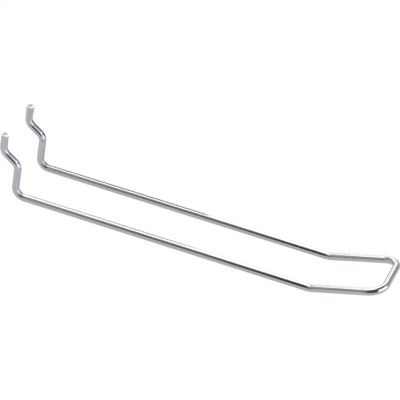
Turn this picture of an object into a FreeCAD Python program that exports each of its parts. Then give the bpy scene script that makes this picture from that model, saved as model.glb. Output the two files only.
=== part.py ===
import FreeCAD, Part
import math
import os
import Sketcher

# Double-pronged loop hook for a pegboard, bent from one length of bright plated steel wire.
# Frame: +Z up. The board's front face is the plane Y = 0 and the arms reach out along -Y. The origin is on
# that face, midway between the prongs, at the height of the two board holes that the prongs pass through.

# Driving dimensions, in millimetres and degrees.
DRIVING_SIZES = {
    "wire_diameter": 3.0,
    "prong_spacing": 25.4,  # between the two legs' centre lines, one pitch of the board's holes
    "board_grip": 3.9,  # clear space between drop and stub, where the board goes
    "stub_height": 11.3,  # from the hole centres up to the stub's end
    "jog_angle": 56.0,  # of the jog, from upright
    "jog_bend_radius": 4.0,  # bend radii are those of the wire's centre line
    "arm_drop": 14.5,  # from the hole centres down to the arm's centre line
    "arm_bend_radius": 4.0,
    "arm_run": 118.0,  # straight stretch of the arm
    "tip_bend_radius": 7.5,
    "tip_angle": 16.0,  # of the tip, up from level
    "tip_run": 22.0,  # straight stretch of the tip
    "corner_radius": 6.0,
    "bevel_length": 0.45,  # along the wire at each stub's end
    "bevel_depth": 0.4,  # in from the wire's surface
}

# Where the cross bar's centre line lies, in front of the board and above the hole centres.
BAR_REACH = (
    "sizes.wire_diameter / 2 + sizes.arm_bend_radius + sizes.arm_run"
    " + sizes.tip_bend_radius * sin(sizes.tip_angle)"
    " + (sizes.tip_run + sizes.corner_radius) * cos(sizes.tip_angle)"
)
BAR_HEIGHT = (
    "sizes.tip_bend_radius * (1 - cos(sizes.tip_angle))"
    " + (sizes.tip_run + sizes.corner_radius) * sin(sizes.tip_angle) - sizes.arm_drop"
)

SKETCH_ORIGIN = (-1, 1)
LINE_START, LINE_END, ARC_CENTRE = 1, 2, 3
LEVEL_TOLERANCE = 1e-6


def size_sheet(doc):
    """Puts every driving dimension in a named cell."""
    sheet = doc.addObject("Spreadsheet::Sheet", "sizes")
    for row, (alias, number) in enumerate(DRIVING_SIZES.items(), start=1):
        sheet.set(f"A{row}", alias)
        sheet.set(f"B{row}", str(number))
        sheet.setAlias(f"B{row}", alias)
    doc.recompute()
    return sheet


def origin_plane(body, role):
    """Finds one of the body's own origin planes."""
    return next(plane for plane in body.Origin.OriginFeatures if plane.Role == role)


def sketch_on(body, name, role, offsets, turn=FreeCAD.Rotation()):
    """Starts a sketch on an origin plane, turned and then placed by the given expressions."""
    sketch = body.newObject("Sketcher::SketchObject", name)
    sketch.AttachmentSupport = (origin_plane(body, role), "")
    sketch.MapMode = "FlatFace"
    sketch.AttachmentOffset = FreeCAD.Placement(FreeCAD.Vector(), turn)
    for path, expression in offsets.items():
        sketch.setExpression(f"AttachmentOffset.{path}", expression)
    return sketch


def drive(sketch, name, expression, *constraint):
    """Adds a dimension to a sketch and ties it to the sheet."""
    index = sketch.addConstraint(Sketcher.Constraint(*constraint))
    sketch.renameConstraint(index, name)
    sketch.setExpression(f"Constraints.{name}", expression)


def bent_path(sketch, corners, radii):
    """Draws straight runs between corner points, with a tangent arc at each inner corner."""
    runs, bends = [], []
    run_start = corners[0]
    for before, corner, after, radius in zip(corners, corners[1:], corners[2:], radii):
        way_in = (corner - before).normalize()
        way_out = (after - corner).normalize()
        turn = math.atan2(way_in.x * way_out.y - way_in.y * way_out.x, way_in.dot(way_out))
        trim = radius * math.tan(abs(turn) / 2)
        side = math.copysign(1, turn)
        run_end = corner - way_in * trim
        centre = run_end + FreeCAD.Vector(-way_in.y, way_in.x) * (side * radius)
        first = math.atan2(run_end.y - centre.y, run_end.x - centre.x)
        low, high = sorted((first, first + turn))
        circle = Part.Circle(centre, FreeCAD.Vector(0, 0, 1), radius)
        runs.append(sketch.addGeometry(Part.LineSegment(run_start, run_end)))
        bends.append((sketch.addGeometry(Part.ArcOfCircle(circle, low, high)), side))
        run_start = corner + way_out * trim
    runs.append(sketch.addGeometry(Part.LineSegment(run_start, corners[-1])))
    for (bend, side), run_in, run_out in zip(bends, runs, runs[1:]):
        bend_in, bend_out = (LINE_START, LINE_END) if side > 0 else (LINE_END, LINE_START)
        sketch.addConstraint(Sketcher.Constraint("Tangent", run_in, LINE_END, bend, bend_in))
        sketch.addConstraint(Sketcher.Constraint("Tangent", bend, bend_out, run_out, LINE_START))
    return runs, [bend for bend, side in bends]


def leg_path(body, sheet):
    """Centre line of one leg, in its upright plane: stub, jog, drop, arm and raised tip."""
    wire_radius = sheet.wire_diameter / 2
    jog_angle = math.radians(sheet.jog_angle)
    tip_angle = math.radians(sheet.tip_angle)
    stub_front = sheet.board_grip + wire_radius
    tip_trim = sheet.tip_bend_radius * math.tan(tip_angle / 2)
    arm_reach = wire_radius + sheet.arm_bend_radius + sheet.arm_run
    tip_corner = FreeCAD.Vector(-(arm_reach + tip_trim), -sheet.arm_drop)
    tip_way = FreeCAD.Vector(-math.cos(tip_angle), math.sin(tip_angle))
    corners = [
        FreeCAD.Vector(stub_front, sheet.stub_height),
        FreeCAD.Vector(stub_front, stub_front / math.tan(jog_angle)),
        FreeCAD.Vector(-wire_radius, -wire_radius / math.tan(jog_angle)),
        FreeCAD.Vector(-wire_radius, -sheet.arm_drop),
        tip_corner,
        tip_corner + tip_way * (tip_trim + sheet.tip_run),
    ]
    radii = [sheet.jog_bend_radius, sheet.jog_bend_radius, sheet.arm_bend_radius, sheet.tip_bend_radius]

    sketch = sketch_on(body, "leg_path", "YZ_Plane", {"Base.z": "-sizes.prong_spacing / 2"})
    (stub, jog, drop, arm, tip), bends = bent_path(sketch, corners, radii)
    stub_bend, jog_bend, arm_bend, tip_bend = bends
    sketch.addConstraint(Sketcher.Constraint("Vertical", stub))
    sketch.addConstraint(Sketcher.Constraint("Vertical", drop))
    sketch.addConstraint(Sketcher.Constraint("Horizontal", arm))
    sketch.addConstraint(Sketcher.Constraint("PointOnObject", *SKETCH_ORIGIN, jog))

    drive(sketch, "stub_behind_face", "sizes.board_grip + sizes.wire_diameter / 2",
          "DistanceX", *SKETCH_ORIGIN, stub, LINE_START, stub_front)
    drive(sketch, "stub_height", "sizes.stub_height",
          "DistanceY", *SKETCH_ORIGIN, stub, LINE_START, sheet.stub_height)
    drive(sketch, "stub_bend_radius", "sizes.jog_bend_radius", "Radius", stub_bend, sheet.jog_bend_radius)
    drive(sketch, "jog_direction", "-(90 + sizes.jog_angle)", "Angle", jog, -(math.pi / 2 + jog_angle))
    drive(sketch, "jog_bend_radius", "sizes.jog_bend_radius", "Radius", jog_bend, sheet.jog_bend_radius)
    drive(sketch, "drop_before_face", "sizes.wire_diameter / 2",
          "DistanceX", drop, LINE_END, *SKETCH_ORIGIN, wire_radius)
    drive(sketch, "arm_bend_radius", "sizes.arm_bend_radius", "Radius", arm_bend, sheet.arm_bend_radius)
    drive(sketch, "arm_drop", "sizes.arm_drop", "DistanceY", arm, LINE_START, *SKETCH_ORIGIN, sheet.arm_drop)
    drive(sketch, "arm_run", "sizes.arm_run", "Distance", arm, sheet.arm_run)
    drive(sketch, "tip_bend_radius", "sizes.tip_bend_radius", "Radius", tip_bend, sheet.tip_bend_radius)
    drive(sketch, "tip_direction", "180 - sizes.tip_angle", "Angle", tip, math.pi - tip_angle)
    drive(sketch, "tip_run", "sizes.tip_run", "Distance", tip, sheet.tip_run)
    return sketch


def loop_path(body, sheet):
    """Centre line of half the front loop, in the tips' slanted plane: half the cross bar, then one corner."""
    half_width = sheet.prong_spacing / 2
    radius = sheet.corner_radius
    offsets = {"Base.y": f"-({BAR_REACH})", "Base.z": BAR_HEIGHT, "Rotation.Angle": "sizes.tip_angle"}
    tip_slope = FreeCAD.Rotation(FreeCAD.Vector(-1, 0, 0), sheet.tip_angle)

    sketch = sketch_on(body, "loop_path", "XY_Plane", offsets, tip_slope)
    bar_end = FreeCAD.Vector(radius - half_width, 0)
    circle = Part.Circle(bar_end + FreeCAD.Vector(0, radius), FreeCAD.Vector(0, 0, 1), radius)
    bar = sketch.addGeometry(Part.LineSegment(FreeCAD.Vector(), bar_end))
    corner = sketch.addGeometry(Part.ArcOfCircle(circle, math.pi, 3 * math.pi / 2))
    sketch.addConstraint(Sketcher.Constraint("Coincident", bar, LINE_START, *SKETCH_ORIGIN))
    sketch.addConstraint(Sketcher.Constraint("Horizontal", bar))
    sketch.addConstraint(Sketcher.Constraint("Tangent", bar, LINE_END, corner, LINE_END))
    sketch.addConstraint(Sketcher.Constraint("Horizontal", corner, LINE_START, corner, ARC_CENTRE))
    drive(sketch, "corner_radius", "sizes.corner_radius", "Radius", corner, radius)
    drive(sketch, "half_width", "sizes.prong_spacing / 2",
          "DistanceX", corner, LINE_START, *SKETCH_ORIGIN, half_width)
    return sketch


def wire_section(body, sheet, name, role, offsets):
    """The wire's round section, centred on its sketch's origin."""
    sketch = sketch_on(body, name, role, offsets)
    circle = Part.Circle(FreeCAD.Vector(), FreeCAD.Vector(0, 0, 1), sheet.wire_diameter / 2)
    section = sketch.addGeometry(circle)
    sketch.addConstraint(Sketcher.Constraint("Coincident", section, ARC_CENTRE, *SKETCH_ORIGIN))
    drive(sketch, "wire_diameter", "sizes.wire_diameter", "Diameter", section, sheet.wire_diameter)
    return sketch


def swept_wire(body, name, section, path):
    """Sweeps the wire's section along a centre line."""
    pipe = body.newObject("PartDesign::AdditivePipe", name)
    pipe.Profile = section
    pipe.Spine = path
    return pipe


def stub_end_edges(shape, sheet):
    """Names the two round edges at the stubs' ends."""
    names = []
    for number, edge in enumerate(shape.Edges, start=1):
        if edge.BoundBox.ZMin > sheet.stub_height - LEVEL_TOLERANCE:
            names.append(f"Edge{number}")
    return names


def hook_wire(doc, sheet):
    """The whole hook: one leg and half the loop, mirrored to the other side, with bevelled stub ends."""
    body = doc.addObject("PartDesign::Body", "hook_wire")
    body.Label = "hook_wire"
    stub_place = {
        "Base.x": "-sizes.prong_spacing / 2",
        "Base.y": "sizes.board_grip + sizes.wire_diameter / 2",
        "Base.z": "sizes.stub_height",
    }
    bar_place = {"Base.x": f"-({BAR_REACH})", "Base.y": BAR_HEIGHT}
    leg = swept_wire(
        body, "leg", wire_section(body, sheet, "leg_section", "XY_Plane", stub_place), leg_path(body, sheet)
    )
    doc.recompute()
    loop = swept_wire(
        body, "loop", wire_section(body, sheet, "loop_section", "YZ_Plane", bar_place), loop_path(body, sheet)
    )
    doc.recompute()
    pair = body.newObject("PartDesign::Mirrored", "pair")
    pair.Originals = [leg, loop]
    pair.MirrorPlane = (origin_plane(body, "YZ_Plane"), [""])
    body.Tip = pair
    doc.recompute()
    bevel = body.newObject("PartDesign::Chamfer", "stub_bevel")
    bevel.Base = (pair, stub_end_edges(pair.Shape, sheet))
    bevel.ChamferType = "Two distances"
    bevel.setExpression("Size", "sizes.bevel_length")
    bevel.setExpression("Size2", "sizes.bevel_depth")
    body.Tip = bevel
    doc.recompute()
    return body


def check(doc, bodies):
    """Stops if any object failed, or a finished shape is empty or unsound."""
    for item in doc.Objects:
        if "Invalid" in item.State or "Error" in item.State:
            raise RuntimeError(f"{item.Label} failed: {item.State}")
    for body in bodies:
        if body.Shape.isNull() or not body.Shape.isValid() or len(body.Shape.Solids) != 1:
            raise RuntimeError(f"{body.Label} has no single sound solid")


document = FreeCAD.newDocument("pegboard_hook")
sizes = size_sheet(document)
pieces = [hook_wire(document, sizes)]
check(document, pieces)
os.makedirs("parts", exist_ok=True)
for piece in pieces:
    piece.Shape.exportStep(f"parts/{piece.Label}.step")
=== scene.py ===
from math import cos, pi, radians, sin, tan

import bmesh
import bpy
from mathutils import Matrix, Vector


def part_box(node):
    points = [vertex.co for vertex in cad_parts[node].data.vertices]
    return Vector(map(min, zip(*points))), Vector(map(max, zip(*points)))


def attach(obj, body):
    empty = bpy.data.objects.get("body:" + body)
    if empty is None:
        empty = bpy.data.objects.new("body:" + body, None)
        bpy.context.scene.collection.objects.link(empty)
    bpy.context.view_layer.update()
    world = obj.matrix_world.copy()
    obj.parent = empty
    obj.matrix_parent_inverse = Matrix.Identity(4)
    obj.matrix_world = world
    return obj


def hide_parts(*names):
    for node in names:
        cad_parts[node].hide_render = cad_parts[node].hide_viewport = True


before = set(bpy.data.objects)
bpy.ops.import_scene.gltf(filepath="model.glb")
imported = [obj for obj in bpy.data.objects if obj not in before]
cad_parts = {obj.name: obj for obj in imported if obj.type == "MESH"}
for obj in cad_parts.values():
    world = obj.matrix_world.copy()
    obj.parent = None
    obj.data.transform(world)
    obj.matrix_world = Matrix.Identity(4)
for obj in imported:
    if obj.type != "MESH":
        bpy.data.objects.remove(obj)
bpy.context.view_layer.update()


# Hook wire: one length of 3 mm drawn steel wire, cropped and bevelled at both ends, with no weld or joint in it.
# A bender feeds it straight and turns it round pins: prong, jog, drop, arm and tip on each side, and the front
# bar between two corners. It is plated after bending, so the plating also covers the bevels and the cut ends.
wire_low, wire_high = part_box("hook_wire")
wire_diameter = 0.0030
wire_radius = wire_diameter / 2
jog_angle = radians(56)
jog_bend_radius = 0.0040
arm_bend_radius = 0.0040
tip_angle = radians(16)
tip_bend_radius = 0.0075
tip_run = 0.0220
corner_radius = 0.0060
bevel_length = 0.00045
bevel_depth = 0.0004
edge_rounding = 0.00006
edge_rounding_steps = 3
edge_hold = 0.0002
crisp_edge = radians(20)

# The axes of the straight runs lie one wire radius inside the frame's box, and the drops lie on the board face.
prong_axis_x = wire_low.x + wire_radius
prong_axis_y = wire_high.y - wire_radius
drop_axis_y = -wire_radius
arm_axis_z = wire_low.z + wire_radius
bar_axis_y = wire_low.y + wire_radius

jog_setback = jog_bend_radius * tan(jog_angle / 2)
prong_run = wire_high.z - bevel_length - prong_axis_y / tan(jog_angle) - jog_setback
jog_run = (prong_axis_y - drop_axis_y) / sin(jog_angle) - 2 * jog_setback
drop_run = drop_axis_y / tan(jog_angle) - arm_axis_z - jog_setback - arm_bend_radius
tip_setback = tip_bend_radius * tan(tip_angle / 2)
tip_span = tip_setback + tip_run + corner_radius
arm_run = drop_axis_y - bar_axis_y - arm_bend_radius - tip_setback - tip_span * cos(tip_angle)
bar_run = 2 * (-prong_axis_x - corner_radius)


class BentWire:
    """The wire in the bender: the mesh so far, its open rim, the middle of that rim and the way it points."""

    rim_sides = 64
    feed_step = 0.0020
    bend_step = radians(2.5)
    flattening = 0.03

    def __init__(self, end_middle, heading):
        self.mesh = bmesh.new()
        self.along = self.mesh.verts.layers.float_vector.new("along_wire")
        self.strain = self.mesh.verts.layers.float.new("bend_strain")
        self.middle = end_middle
        self.heading = heading
        self.length = 0.0
        facing = (-heading).to_track_quat("Z", "Y").to_matrix().to_4x4()
        end_face = bmesh.ops.create_circle(
            self.mesh, cap_ends=True, segments=self.rim_sides, radius=wire_radius - bevel_depth,
            matrix=Matrix.Translation(end_middle) @ facing)
        for corner in end_face["verts"]:
            spoke = (corner.co - end_middle) @ facing.to_3x3()
            corner[self.along] = (spoke.x / spoke.length, spoke.y / spoke.length, self.length)
        self.rim = list(self.mesh.edges)

    def carry_on(self, made, length):
        corners = [item for item in made if isinstance(item, bmesh.types.BMVert)]
        fresh = set(corners)
        self.rim = [item for item in made if isinstance(item, bmesh.types.BMEdge) and fresh.issuperset(item.verts)]
        self.length += length
        for corner in corners:
            corner[self.along].z = self.length
            corner[self.strain] = 0.0
        return corners

    def feed(self, length, steps=None):
        steps = steps or max(1, round(length / self.feed_step))
        for _ in range(steps):
            made = bmesh.ops.extrude_edge_only(self.mesh, edges=self.rim)["geom"]
            corners = self.carry_on(made, length / steps)
            bmesh.ops.translate(self.mesh, verts=corners, vec=self.heading * (length / steps))
            self.middle = self.middle + self.heading * (length / steps)

    def flare(self, share):
        corners = list({corner for edge in self.rim for corner in edge.verts})
        around = Matrix.Translation(-self.middle)
        bmesh.ops.scale(self.mesh, verts=corners, vec=(share, share, share), space=around)

    def bend(self, toward, angle, radius):
        steps = max(2, round(angle / self.bend_step))
        start = self.heading
        pin = self.middle + toward * radius
        axis = start.cross(toward)
        thickness = 1.0
        # A tight bend is pressed harder on its pin, so it is marked more.
        tightness = (arm_bend_radius / radius) ** 2
        for step in range(1, steps + 1):
            made = bmesh.ops.spin(
                self.mesh, geom=self.rim, cent=pin, axis=axis, angle=angle / steps, steps=1)["geom_last"]
            corners = self.carry_on(made, radius * angle / steps)
            turn = Matrix.Rotation(angle * step / steps, 3, axis)
            inward = turn @ toward
            self.middle = pin - inward * radius
            self.heading = turn @ start
            pressed = sin(pi * step / steps)
            squeeze = (1 - self.flattening * pressed) / thickness
            thickness = thickness * squeeze
            bender = Matrix((inward, axis, self.heading)).to_4x4() @ Matrix.Translation(-self.middle)
            bmesh.ops.scale(self.mesh, verts=corners, vec=(squeeze, 1 / squeeze, 1.0), space=bender)
            for corner in corners:
                corner[self.strain] = pressed * tightness * (self.middle - corner.co).dot(inward) / wire_radius

    def close(self):
        bmesh.ops.edgeloop_fill(self.mesh, edges=self.rim)
        bmesh.ops.recalc_face_normals(self.mesh, faces=self.mesh.faces)
        crisp = [edge for edge in self.mesh.edges if edge.calc_face_angle(0.0) > crisp_edge]
        bmesh.ops.bevel(self.mesh, geom=crisp, offset=edge_rounding, offset_type="OFFSET",
                        segments=edge_rounding_steps, profile=0.5, affect="EDGES", material=-1)


down = Vector((0, 0, -1))
up = Vector((0, 0, 1))
front = Vector((0, -1, 0))
board = Vector((0, 1, 0))
across = Vector((1, 0, 0))
square = radians(90)
tip_way = front * cos(tip_angle) + up * sin(tip_angle)

# A rim held close to each bevel keeps the stub's shading round right up to its edge.
wire = BentWire(Vector((prong_axis_x, prong_axis_y, wire_high.z)), down)
wire.feed(bevel_length, steps=1)
wire.flare(wire_radius / (wire_radius - bevel_depth))
wire.feed(edge_hold, steps=1)
wire.feed(prong_run - edge_hold)
wire.bend(front, jog_angle, jog_bend_radius)
wire.feed(jog_run)
jog_length = wire.length
wire.bend(down * sin(jog_angle) - front * cos(jog_angle), jog_angle, jog_bend_radius)
drop_start = wire.length
wire.feed(drop_run)
wire.bend(front, square, arm_bend_radius)
prong_length = wire.length
wire.feed(arm_run)
wire.bend(up, tip_angle, tip_bend_radius)
tip_start = wire.length
wire.feed(tip_run)
wire.bend(across, square, corner_radius)
wire.feed(bar_run)
wire.bend(-tip_way, square, corner_radius)
wire.feed(tip_run)
wire.bend(up * cos(tip_angle) - front * sin(tip_angle), tip_angle, tip_bend_radius)
wire.feed(arm_run)
wire.bend(up, square, arm_bend_radius)
wire.feed(drop_run)
wire.bend(board, jog_angle, jog_bend_radius)
wire.feed(jog_run)
wire.bend(up * sin(jog_angle) - board * cos(jog_angle), jog_angle, jog_bend_radius)
wire.feed(prong_run - edge_hold)
wire.feed(edge_hold, steps=1)
wire.feed(bevel_length, steps=1)
wire.flare((wire_radius - bevel_depth) / wire_radius)
wire.close()

bevelled = wire.mesh.faces.layers.float.new("bevelled")
cropped = wire.mesh.faces.layers.float.new("cropped")
bevel_end = 1.01 * bevel_length
for face in wire.mesh.faces:
    runs = [min(corner[wire.along].z, wire.length - corner[wire.along].z) for corner in face.verts]
    face.smooth = len(face.verts) == 4
    face[cropped] = float(not face.smooth)
    face[bevelled] = float(face.smooth and max(runs) < bevel_end)
hook_mesh = bpy.data.meshes.new("hook_wire_plated")
wire.mesh.to_mesh(hook_mesh)
wire.mesh.free()
hook = bpy.data.objects.new("hook_wire_plated", hook_mesh)
bpy.context.scene.collection.objects.link(hook)


class Tone:
    """A socket of a finish: sums on it add Math nodes, and node() adds any other node."""

    def __init__(self, socket):
        self.socket = socket

    @staticmethod
    def node(tree, kind, settings, sockets, output=0):
        made = tree.nodes.new(kind)
        for name, value in settings.items():
            if name == "stops":
                ramp = made.color_ramp.elements
                ramp[0].color = value[0][1]
                ramp[1].color = value[-1][1]
                for place, colour in value[1:-1]:
                    ramp.new(place).color = colour
            else:
                setattr(made, name, value)
        for name, value in sockets.items():
            if isinstance(value, Tone):
                tree.links.new(value.socket, made.inputs[name])
            else:
                made.inputs[name].default_value = value
        return Tone(made.outputs[output]) if made.outputs else None

    def sums(self, operation, *values):
        return Tone.node(self.socket.id_data, "ShaderNodeMath", {"operation": operation}, dict(enumerate(values)))

    def __add__(self, other):
        return self.sums("ADD", self, other)

    def __radd__(self, other):
        return self.sums("ADD", other, self)

    def __sub__(self, other):
        return self.sums("SUBTRACT", self, other)

    def __rsub__(self, other):
        return self.sums("SUBTRACT", other, self)

    def __mul__(self, other):
        return self.sums("MULTIPLY", self, other)

    def __rmul__(self, other):
        return self.sums("MULTIPLY", other, self)

    def __abs__(self):
        return self.sums("ABSOLUTE", self)


# The plating is bright on the arms, with a lavender film on one prong and on one bend of the other, and a cooler one
# on the rest of that prong, the tips and the bar. It shows the wire's drawing lines and small nicks, and is rubbed
# dull by the pins inside the tight bends. The bevels are painted pale and matt: a painted highlight for the ring of
# light on them.
plating_bright = (0.500, 0.500, 0.506, 1.0)
plating_lavender = (0.520, 0.527, 0.593, 1.0)
plating_cool = (0.498, 0.532, 0.553, 1.0)
plating_dull = (0.420, 0.422, 0.436, 1.0)
# Painted highlight: the bevels' pale colour stands in for the white ring of light that they catch.
painted_bevel_highlight = (0.93, 0.93, 0.94, 1.0)
plating_cut = (0.30, 0.30, 0.31, 1.0)
film_fade = 0.006
film_breaks = 0.5
streak_weight = 0.6
dull_tint = 0.75
nick_tint = 0.25
rub_tint = 0.2
bevel_highlight_tint = 0.85
bevel_highlight_clouds = 0.3
# Painted highlight: by this share the bevels are made less metallic, so their pale colour shows evenly all round.
bevel_highlight_unmetal = 0.8
plating_roughness = 0.085
dull_roughness = 0.08
nick_roughness = 0.10
rub_roughness = 0.05
pin_roughness = 0.20
bevel_roughness = 0.45
cut_roughness = 0.35
draw_weight = 0.7
relief_strength = 0.05
line_depth = 0.00005
peel_depth = 0.00004
plating = bpy.data.materials.new("plated_wire")
plating.use_nodes = True
coat = plating.node_tree
coat.nodes.clear()


def wire_value(name, output):
    return Tone.node(coat, "ShaderNodeAttribute", {"attribute_name": name}, {}, output)


def wire_noise(around, along, detail):
    stretched = Tone.node(coat, "ShaderNodeVectorMath", {"operation": "MULTIPLY"},
                          {0: wire_value("along_wire", "Vector"), 1: (around, around, along)})
    return Tone.node(coat, "ShaderNodeTexNoise", {}, {"Vector": stretched, "Scale": 1.0, "Detail": detail})


def between(value, low, high):
    return Tone.node(coat, "ShaderNodeMapRange", {"interpolation_type": "SMOOTHSTEP"},
                     {"Value": value, "From Min": low, "From Max": high})


def toned(share, colour, other):
    return Tone.node(coat, "ShaderNodeMix", {"data_type": "RGBA"}, {0: share, 6: colour, 7: other}, 2)


run = Tone.node(coat, "ShaderNodeSeparateXYZ", {}, {"Vector": wire_value("along_wire", "Vector")}, "Z")
strain = wire_value("bend_strain", "Fac")
bevel_share = wire_value("bevelled", "Fac")
cut_share = wire_value("cropped", "Fac")
draw_lines = wire_noise(around=7.0, along=60.0, detail=3.0)
fine_lines = wire_noise(around=26.0, along=90.0, detail=2.0)
clouds = wire_noise(around=0.8, along=180.0, detail=2.0)
nicks = between(wire_noise(around=5.0, along=1500.0, detail=1.0), low=0.70, high=0.76)
rub = between(abs(strain), low=0.35, high=0.95)
pin_rub = between(0 - strain, low=0.20, high=0.80)
streaks = between(draw_lines, low=0.36, high=0.64)
dulling = streak_weight * streaks + (1 - streak_weight) * clouds

film_runs = [
    (0.0, plating_lavender), (prong_length, plating_lavender), (prong_length + film_fade, plating_bright),
    (tip_start - film_fade * 2 / 3, plating_bright), (tip_start + film_fade / 3, plating_cool),
    (wire.length - tip_start - film_fade / 3, plating_cool),
    (wire.length - tip_start + film_fade * 2 / 3, plating_bright),
    (wire.length - prong_length, plating_bright), (wire.length - drop_start - film_fade / 2, plating_cool),
    (wire.length - drop_start, plating_lavender), (wire.length - jog_length, plating_lavender),
    (wire.length - jog_length + film_fade / 2, plating_cool), (wire.length, plating_cool)]
film = Tone.node(coat, "ShaderNodeValToRGB", {"stops": [(place / wire.length, tone) for place, tone in film_runs]},
                 {"Fac": (1 / wire.length) * run})
film = toned(film_breaks * between(clouds, low=0.45, high=0.70), film, plating_bright)
film = toned(dull_tint * dulling + nick_tint * nicks + rub_tint * rub, film, plating_dull)
# Painted highlight: the bevel faces are mixed towards the pale colour, with clouds, for the ring of light on them.
film = toned(bevel_share * (bevel_highlight_tint + bevel_highlight_clouds * clouds), film, painted_bevel_highlight)
film = toned(cut_share, film, plating_cut)

surface = Tone.node(coat, "ShaderNodeBump", {},
                    {"Height": draw_weight * draw_lines + (1 - draw_weight) * fine_lines,
                     "Strength": relief_strength, "Distance": line_depth})
peel = Tone.node(coat, "ShaderNodeBump", {},
                 {"Height": rub * wire_noise(around=9.0, along=6000.0, detail=1.0),
                  "Strength": relief_strength, "Distance": peel_depth, "Normal": surface})
roughness = (plating_roughness + dull_roughness * dulling + nick_roughness * nicks + rub_roughness * rub
             + pin_roughness * pin_rub + bevel_roughness * bevel_share + cut_roughness * cut_share)
# The plated surface. On the bevels it is less metallic, which carries their painted highlight.
plated = Tone.node(
    coat, "ShaderNodeBsdfPrincipled", {},
    {"Base Color": film, "Metallic": 1 - bevel_highlight_unmetal * bevel_share, "Roughness": roughness, "Normal": peel})
Tone.node(coat, "ShaderNodeOutputMaterial", {}, {"Surface": plated})
hook_mesh.materials.append(plating)
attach(hook, "root")
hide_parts("hook_wire")


# Floor: a pale paper sheet that the hook lies on, on its two arms, with the tips and prongs standing clear of it.
# It is shown white, to the metal too, and keeps a trace of the hook's own shadow.
floor_reach = 12.0
paper_grey = (0.70, 0.70, 0.70, 1.0)
paper_white = (1.0, 1.0, 1.0, 1.0)
paper_glow = 1.02
white_to_camera = 0.94
white_to_metal = 0.60
floor_mesh = bpy.data.meshes.new("floor")
floor_bm = bmesh.new()
bmesh.ops.create_grid(floor_bm, x_segments=1, y_segments=1, size=floor_reach,
                      matrix=Matrix.Translation((0, 0, wire_low.z)))
floor_bm.to_mesh(floor_mesh)
floor_bm.free()
floor = bpy.data.objects.new("floor", floor_mesh)
bpy.context.scene.collection.objects.link(floor)
floor_paper = bpy.data.materials.new("floor_paper")
floor_paper.use_nodes = True
paper = floor_paper.node_tree
paper.nodes.clear()
camera_ray = Tone.node(paper, "ShaderNodeLightPath", {}, {}, "Is Camera Ray")
mirror_ray = Tone.node(paper, "ShaderNodeLightPath", {}, {}, "Is Glossy Ray")
glass_ray = Tone.node(paper, "ShaderNodeLightPath", {}, {}, "Is Transmission Ray")
lit_paper = Tone.node(paper, "ShaderNodeBsdfDiffuse", {}, {"Color": paper_grey})
white_paper = Tone.node(paper, "ShaderNodeEmission", {}, {"Color": paper_white, "Strength": paper_glow})
shown_white = white_to_camera * camera_ray + white_to_metal * (mirror_ray + glass_ray)
shown_paper = Tone.node(paper, "ShaderNodeMixShader", {}, {0: shown_white, 1: lit_paper, 2: white_paper})
Tone.node(paper, "ShaderNodeOutputMaterial", {}, {"Surface": shown_paper})
floor_mesh.materials.append(floor_paper)


# Studio: three soft boxes, over, behind and before the hook, light it. Only the metal shows the cards: two white ones
# beyond the hook, and dark and grey ones on the camera's side, over the loop and beside the far arm, which give the
# wire its bands.
def soft_box(name, radiance, width, height, place, aim):
    lamp = bpy.data.lights.new(name, "AREA")
    lamp.shape = "RECTANGLE"
    lamp.size = width
    lamp.size_y = height
    lamp.energy = radiance * pi * width * height
    box = bpy.data.objects.new(name, lamp)
    box.location = place
    box.rotation_mode = "QUATERNION"
    box.rotation_quaternion = (Vector(aim) - Vector(place)).to_track_quat("-Z", "Y")
    box.visible_camera = False
    bpy.context.scene.collection.objects.link(box)


def card(name, shade, width, height, place, aim):
    facing = (Vector(aim) - Vector(place)).to_track_quat("-Z", "Y").to_matrix().to_4x4()
    card_bm = bmesh.new()
    bmesh.ops.create_grid(card_bm, x_segments=1, y_segments=1, size=0.5,
                          matrix=Matrix.Translation(place) @ facing @ Matrix.Diagonal((width, height, 1.0, 1.0)))
    card_mesh = bpy.data.meshes.new(name)
    card_bm.to_mesh(card_mesh)
    card_bm.free()
    face = bpy.data.materials.new(name)
    face.use_nodes = True
    face.node_tree.nodes.clear()
    grey = (shade, shade, shade, 1.0)
    glow = Tone.node(face.node_tree, "ShaderNodeEmission", {}, {"Color": grey, "Strength": 1.0})
    Tone.node(face.node_tree, "ShaderNodeOutputMaterial", {}, {"Surface": glow})
    card_mesh.materials.append(face)
    sheet = bpy.data.objects.new(name, card_mesh)
    sheet.visible_camera = False
    sheet.visible_diffuse = False
    sheet.visible_shadow = False
    bpy.context.scene.collection.objects.link(sheet)


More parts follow.
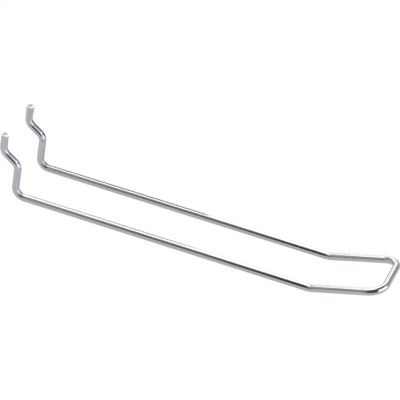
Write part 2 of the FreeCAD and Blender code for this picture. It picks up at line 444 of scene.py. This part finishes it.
soft_box("top_light", radiance=1.90, width=0.99, height=0.51, place=(0.324, 0.191, 0.8), aim=(0.324, 0.191, 0))
soft_box("back_light", radiance=2.05, width=0.30, height=0.57, place=(0.776, 0, 0.631), aim=(0, 0, 0))
soft_box("front_light", radiance=1.76, width=0.79, height=0.81, place=(-0.0904, -0.642, 0.392), aim=(0, -0.15, 0.392))
card("side_card", shade=1.95, width=0.70, height=0.82, place=(0.6, 0.502, 0.51), aim=(0, -0.1, 0.51))
card("back_card", shade=1.4, width=0.31, height=0.366, place=(0.77, 0.105, 0.167), aim=(0, 0.105, 0.167))
card("gap_card", shade=0.18, width=0.042, height=0.094, place=(0.0988, 0.00825, 0.179), aim=(0.0988, 0.00825, 0))
card("far_card", shade=0.05, width=0.088, height=0.019, place=(0.03, -0.024, 0.0072), aim=(0, -0.024, 0.0072))
card("dark_card", shade=0.02, width=0.123, height=1.36, place=(-0.601, -0.0305, 0.679), aim=(0, -0.0305, 0.679))
card("grey_card", shade=0.20, width=0.132, height=2.17, place=(-0.601, 0.0972, 1.21), aim=(0, 0.0972, 1.21))
card("near_card", shade=0.11, width=0.068, height=0.128, place=(-0.05, -0.17, 0.0493), aim=(0, -0.17, 0.0493))
card("low_card", shade=0.02, width=0.25, height=0.34, place=(-0.601, -0.195, 0.2), aim=(0, -0.195, 0.2))
card("over_card", shade=0.14, width=0.151, height=0.116, place=(-0.0116, -0.238, 0.132), aim=(-0.0116, -0.238, 0))

studio_white = (1.0, 1.0, 1.0, 1.0)
studio_level = 0.57
studio = bpy.data.worlds.new("studio")
studio.use_nodes = True
studio.node_tree.nodes["Background"].inputs["Color"].default_value = studio_white
studio.node_tree.nodes["Background"].inputs["Strength"].default_value = studio_level
bpy.context.scene.world = studio
bpy.context.scene.view_settings.view_transform = "Standard"


# Camera: a long lens about a metre away to the side of the hook, looking down on it and a little rolled.
# Its place and lens are worked out from the hook's outline in the photograph, 400 pixels square.
view_azimuth = radians(-75.358)
view_elevation = radians(31.965)
view_roll = radians(9.476)
view_distance = 1.01287
view_aim = Vector((0.00276, -0.07208, -0.00103))
sensor_width = 36.0
lens_length = 233.945
view_back = Vector((sin(view_azimuth) * cos(view_elevation), -cos(view_azimuth) * cos(view_elevation),
                    sin(view_elevation)))
lens = bpy.data.cameras.new("camera")
lens.sensor_width = sensor_width
lens.lens = lens_length
camera = bpy.data.objects.new("camera", lens)
camera.rotation_mode = "QUATERNION"
camera.location = view_aim + view_back * view_distance
camera.rotation_quaternion = ((-view_back).to_track_quat("-Z", "Y")
                              @ Matrix.Rotation(view_roll, 3, "Z").to_quaternion())
bpy.context.scene.collection.objects.link(camera)
bpy.context.scene.camera = camera
